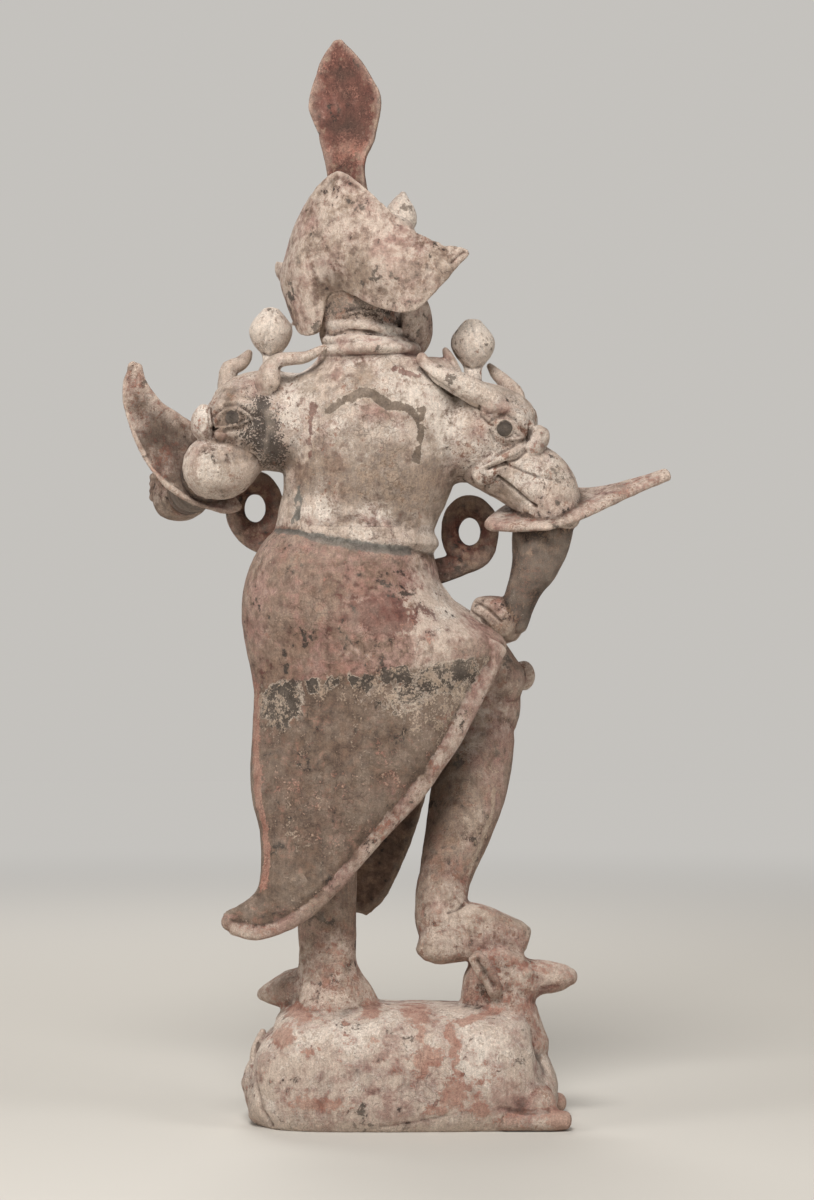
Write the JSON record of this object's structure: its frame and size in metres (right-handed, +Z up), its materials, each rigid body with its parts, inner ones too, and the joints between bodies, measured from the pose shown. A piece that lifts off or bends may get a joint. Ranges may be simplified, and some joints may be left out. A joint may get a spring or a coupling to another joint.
{
  "type": "terracotta warrior figure",
  "caption": "Standing armoured guardian in fired clay, leaf-topped helmet, monster-head shoulders, flared cuffs and long skirt, its feet on the back and head of a lying ox.",
  "frame": {"origin": "centre of the ox's flat underside, on the ground", "axes": "+Z up, the warrior faces -Y, +X to the warrior's own left, the ox's head at -X"},
  "size_m": [0.5059, 0.2128, 0.9968],
  "materials": {
    "earthenware": "unglazed fired clay with worn white slip, pigment and burial dirt"
  },
  "bodies": {
    "root": {"warrior_on_ox": "earthenware"}
  },
  "joints": []
}
